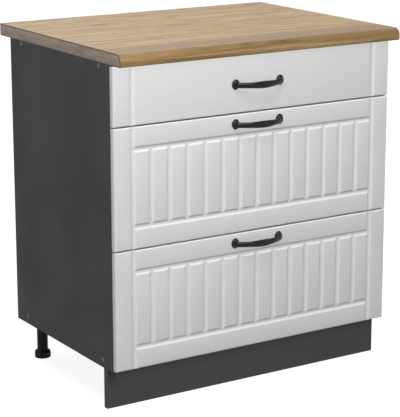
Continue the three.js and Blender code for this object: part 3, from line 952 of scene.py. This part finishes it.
def handleRings(spec):
    # centre, direction, half height and half depth of each section from the middle to one end
    half = spec["centres"] / 2
    rise = spec["projection"] - spec["rootDepth"]
    bend = (half ** 2 + rise ** 2) / (2 * rise)
    neckAngle = math.asin((half - spec["elbow"]) / bend)
    rings = []
    for i in range(spec["stations"] + 1):
        angle = neckAngle * i / spec["stations"]
        swell = gripSwell(angle * bend, spec)
        centre = Vector((bend * math.sin(angle), bend - spec["projection"] - bend * math.cos(angle), 0))
        direction = Vector((math.cos(angle), math.sin(angle), 0))
        tall = spec["endHalfHeight"] + (spec["halfHeight"] - spec["endHalfHeight"]) * swell
        deep = spec["endHalfDepth"] + (spec["halfDepth"] - spec["endHalfDepth"]) * swell
        rings.append((centre, direction, tall, deep))

    # the elbow starts along the bow and ends square to the front
    bowEnd, bowDirection, tall, deep = rings[-1]
    goalDepth, goalRadius = spec["rosette"][-1]
    goal = Vector((half, -goalDepth * mm, 0))
    goalTall, goalDeep = goalRadius * mm, goalRadius * mm * spec["rosetteWidthShare"]
    reach = (goal - bowEnd).length
    bowPull, rosettePull = spec["elbowPull"]
    one, two = bowEnd + bowDirection * reach * bowPull, goal - Vector((0, 1, 0)) * reach * rosettePull
    for i in range(1, spec["elbowSteps"]):
        t = i / spec["elbowSteps"]
        centre, direction = curveAt(t, bowEnd, one, two, goal)
        grow = t ** spec["flare"]
        rings.append((centre, direction, tall + (goalTall - tall) * grow, deep + (goalDeep - deep) * grow))
    for depth, radius in reversed(spec["rosette"]):
        centre = Vector((half, -depth * mm, 0))
        rings.append((centre, Vector((0, 1, 0)), radius * mm, radius * mm * spec["rosetteWidthShare"]))
    return rings


def handleMesh(name, spec, place):
    oneSide = handleRings(spec)
    otherSide = []
    for centre, direction, tall, deep in reversed(oneSide[1:]):
        mirrored = Vector((-centre.x, centre.y, 0)), Vector((direction.x, -direction.y, 0))
        otherSide.append((*mirrored, tall, deep))
    rings = []
    for centre, direction, tall, deep in otherSide + oneSide:
        sideways = Vector((-direction.y, direction.x, 0))
        sunk = -spec["droop"] * max(-centre.y / spec["projection"], 0)
        ring = []
        for i in range(spec["around"]):
            angle = 2 * math.pi * i / spec["around"]
            upward = Vector((0, 0, tall * math.sin(angle) + sunk))
            ring.append(place + centre + sideways * deep * math.cos(angle) + upward)
        rings.append(ring)
    return meshFrom(name, *ringed(rings), sharpAngle=60)


def addHandle(drawer, spec):
    node = f"drawer_{drawer}_handle"
    place = Vector((0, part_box(node)[1].y, middleOf(node).z))
    mesh = handleMesh(node, spec, place)
    addPiece(f"{drawer}_bow_handle", mesh, bodyOf[node], ["blackHandle"], [node], False)


for drawer in drawerNames:
    addHandle(drawer, handle)
print("handles made")


# legs, feet and plinth clips; the profiles are radius and height in millimetres
leg = {
    "tube": (
        (0.0, 56), (9.3, 56), (9.3, 20.3), (13.4, 20.3), (14.0, 20.9), (14.0, 88), (14.3, 92), (15.4, 97),
        (17.2, 101), (20.0, 104), (24.5, 106.6), (26.6, 107.5), (27.0, 108.2), (27.0, 111.2), (26.7, 111.5),
        (0.0, 111.5),
    ),
    "foot": (
        (0.0, 0.4), (17.0, 0.4), (17.6, 0.0), (19.5, 0.0), (20.8, 0.6), (21.7, 1.7), (22.0, 3.2),
        (22.0, 13.8), (21.7, 15.2), (20.8, 16.5), (19.2, 17.6), (17.4, 18.6), (16.7, 19.4), (15.9, 20.0),
        (9.0, 20.0), (9.0, 75.0), (0.0, 75.0),
    ),
    "around": 48,
    "gripFlats": 8,  # flats for the fingers round the foot's rim
    "gripRadius": 17.4 * mm,
    "gripHeight": 1 * mm,
    "clipRadius": 0.5 * mm,
}


def withFlats(point, spec):
    if math.hypot(point.x, point.y) <= spec["gripRadius"] or point.z <= spec["gripHeight"]:
        return point
    half = math.pi / spec["gripFlats"]
    turn = math.atan2(point.y, point.x) % (2 * half) - half
    factor = math.cos(half) / math.cos(turn)
    return Vector((point.x * factor, point.y * factor, point.z))


def addLegs(spec):
    for kind, piece in (("tube", "leg"), ("foot", "foot")):
        for node in [n for n in bodyOf if n.startswith(f"leg_{kind}")]:
            centre = middleOf(node)
            centre.z = 0
            points, faces = turned(inMetres(spec[kind]), spec["around"], Vector((0, 0, 0)))
            if kind == "foot":
                points = [withFlats(point, spec) for point in points]
            mesh = meshFrom(node, [point + centre for point in points], faces)
            corner = node.removeprefix(f"leg_{kind}_")
            addPiece(f"{corner}_{piece}", mesh, bodyOf[node], ["blackPlastic"], [node])
    for side in sides:
        node = f"plinth_clip_{side}"
        mesh = smoothMesh(node, softened(node, spec["clipRadius"]))
        addPiece(f"{side}_plinth_clip", mesh, bodyOf[node], ["blackPlastic"], [node])


addLegs(leg)
print("legs made")


# drawer boxes: steel sides and runners, and the boards between them
drawerBox = {"sheetRadius": 0.3 * mm, "edgeRadius": 0.6 * mm}


def addSteel(spec):
    for node in sorted(bodyOf):
        if node.startswith("runner_"):
            kind, drawer, side = node.split("_")[1:]
            name, slot, material = f"{drawer}_{kind}_channel_{side}", "runner_steel", "zinc"
        elif node.startswith("drawer_") and "_side_" in node:
            drawer, side = node.split("_")[1], node.split("_")[3]
            name, slot, material = f"{drawer}_steel_side_{side}", "drawer_steel", "drawerSteel"
        else:
            continue
        mesh = smoothMesh(node, softened(node, spec["sheetRadius"], 1))
        addPiece(name, mesh, bodyOf[node], [material], [node])


def addDrawerBoards(spec):
    rawEdges = {"base": facing("+x", "-x", "+y", "-y"), "back": facing("+x", "-x")}
    finishes = ["drawerBoard", "chipboard"]
    for drawer in drawerNames:
        for part, raw in rawEdges.items():
            node = f"drawer_{drawer}_{part}"
            addBoard(f"{drawer}_{part}_board", node, spec["edgeRadius"], finishes, raw)


addSteel(drawerBox)
addDrawerBoards(drawerBox)
print("drawer boxes made")


# screws with their caps, as radius and height over the cap's face in millimetres
cap = {
    "profile": (
        (0, -50), (0.6, -50), (2.5, -46), (2.5, -0.75), (6.0, -0.75), (6.0, -0.3), (5.65, 0), (4.8, 0),
        (4.4, -0.25), (0, -0.25),
    ),
    "around": 28,
}


def addCaps(spec):
    for node in [n for n in bodyOf if n.startswith("screw_")]:
        low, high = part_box(node)
        sign = -1 if "_left_" in node else 1
        place = middleOf(node)
        place.x = low.x if sign < 0 else high.x
        mesh = meshFrom(node, *turned(inMetres(spec["profile"]), spec["around"], place, (sign, 0, 0)))
        addPiece(f"{node.removeprefix('screw_')}_cap", mesh, bodyOf[node], ["cap"], [node])


addCaps(cap)
print("caps made")


# small fittings that the solids leave out: screw heads, front brackets and bumpers
fittings = {  # the profiles are radius and height over the seat in millimetres
    "panHead": (
        (0, -0.9), (3.6, -0.9), (3.7, 0.3), (3.3, 0.9), (2.3, 1.3), (1.25, 1.4), (1.05, 0.7), (0, 0.6),
    ),
    "flatHead": ((0, -0.4), (4.0, -0.4), (4.0, 0.5), (3.4, 0.8), (1.5, 0.9), (1.2, 0.4), (0, 0.3)),
    "bumper": ((0, -0.3), (4.2, -0.3), (4.3, 0.4), (3.9, 1.2), (3.0, 1.6), (0, 1.7)),
    "recess": 1.6 * mm,
    "around": 24,
    "legScrewCircle": 21.5 * mm,
    "legScrewHeight": 105.2 * mm,
    "runnerScrews": (30 * mm, 224 * mm, 418 * mm),  # from the runner's front end
    "runnerWeb": 1.2 * mm,
    "bumperInset": (6.5 * mm, 14 * mm),  # from the front's side edge, and from its upper and lower edges
    "railScrewPlace": 230 * mm,
}
bracket = {
    "width": 17 * mm,
    "depth": 38 * mm,
    "sheet": 1.5 * mm,
    "bend": 1.6,  # reach of the bend's inside, in sheets
    "gap": 0.1 * mm,
    "overBase": 5 * mm,
    "belowTop": 14 * mm,
    "screwHeights": (0.2, 0.8),  # shares of the bracket's height
    "screwPlace": 0.6,  # share of its width
}


def screwHead(shape, place, axis):
    cross = fittings["recess"] if "Head" in shape else 0.0
    return turned(inMetres(fittings[shape]), fittings["around"], Vector(place), axis, cross)


def headsAt(name, shape, places, axis, node, material="zinc"):
    parts = [screwHead(shape, place, axis) for place in places]
    addPiece(name, meshFrom(name, *joined(parts)), bodyOf[node], [material], (), False)


def addBracket(drawer, side, spec):
    # angle of steel sheet: one leg on the back of the front, the other inside the steel side
    sign = sides[side]
    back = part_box(f"drawer_{drawer}_front")[1].y + spec["gap"]
    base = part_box(f"drawer_{drawer}_base")[1]
    web = sign * (base.x - spec["gap"])
    bottom = base.z + spec["overBase"]
    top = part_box(f"drawer_{drawer}_side_{side}")[1].z - spec["belowTop"]
    sheet, width, depth = spec["sheet"], spec["width"], spec["depth"]
    bend = sheet * spec["bend"]
    outline = [(0, 0), (width, 0), (width, sheet), (bend, sheet), (sheet, bend), (sheet, depth), (0, depth)]
    rings = [[(web - sign * across, back + along, z) for across, along in outline] for z in (bottom, top)]
    parts = [ringed(rings)]
    for share in spec["screwHeights"]:
        height = bottom + (top - bottom) * share
        place = (web - sign * width * spec["screwPlace"], back + sheet, height)
        parts.append(screwHead("panHead", place, (0, 1, 0)))
    name = f"{drawer}_front_bracket_{side}"
    body = bodyOf[f"drawer_{drawer}_front"]
    addPiece(name, meshFrom(name, *joined(parts)), body, ["zinc"])


def addRunnerScrews(drawer, side, spec):
    node = f"runner_fixed_{drawer}_{side}"
    sign = sides[side]
    low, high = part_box(node)
    x = low.x + spec["runnerWeb"] if sign < 0 else high.x - spec["runnerWeb"]
    places = [(x, low.y + along, middleOf(node).z) for along in spec["runnerScrews"]]
    headsAt(f"{drawer}_runner_screws_{side}", "flatHead", places, (-sign, 0, 0), node)


def addBehindFront(drawer, spec):
    node = f"drawer_{drawer}_front"
    low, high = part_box(node)
    height, half = middleOf(f"drawer_{drawer}_handle").z, handle["centres"] / 2
    places = [(-half, high.y, height), (half, high.y, height)]
    headsAt(f"{drawer}_handle_screws", "panHead", places, (0, 1, 0), node)
    inX, inZ = spec["bumperInset"]
    places = [(x, high.y, z) for x in (low.x + inX, high.x - inX) for z in (low.z + inZ, high.z - inZ)]
    headsAt(f"{drawer}_front_bumpers", "bumper", places, (0, 1, 0), node, "rubber")


def addFittings(spec):
    away = spec["legScrewCircle"] * math.sqrt(0.5)
    for end in ("front", "rear"):
        for side in sides:
            node = f"leg_tube_{end}_{side}"
            x, y, _ = middleOf(node)
            places = [(x + i * away, y + j * away, spec["legScrewHeight"]) for i in (-1, 1) for j in (-1, 1)]
            headsAt(f"{end}_{side}_leg_screws", "panHead", places, (0, 0, -1), node)
    for drawer in drawerNames:
        for side in sides:
            addRunnerScrews(drawer, side, spec)
            addBracket(drawer, side, bracket)
        addBehindFront(drawer, spec)
    for end in ("front", "rear"):
        node = f"top_rail_{end}"
        y, z, place = middleOf(node).y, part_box(node)[0].z, spec["railScrewPlace"]
        headsAt(f"{end}_rail_screws", "panHead", [(-place, y, z), (place, y, z)], (0, 0, -1), node)


addFittings(fittings)
print("small fittings made")


# the worktop keeps no light of the high soft boxes off the fronts, nor the lowest front off the plinth,
# and of all the boxes in front only the small one throws the handles' shadows
overhangs = ("worktop_board", "left_end_band", "right_end_band", "bottom_front_board", "floor_board")
bowHandles = tuple(f"{drawer}_bow_handle" for drawer in drawerNames)
lightPasses = {
    "high_soft_box": overhangs + bowHandles,
    "small_soft_box": overhangs,
    "left_soft_box": bowHandles,
    "right_soft_box": bowHandles,
}


def letLightPast(lamp, pieces):
    spared = bpy.data.collections.new("lets_light_past")
    for piece in pieces:
        spared.objects.link(piece)
    lamp.light_linking.blocker_collection = spared
    for member in spared.collection_objects:
        member.light_linking.link_state = "EXCLUDE"


for lampName, pieceNames in lightPasses.items():
    letLightPast(lampObjects[lampName], [bpy.data.objects[name] for name in pieceNames])
print("soft boxes set")
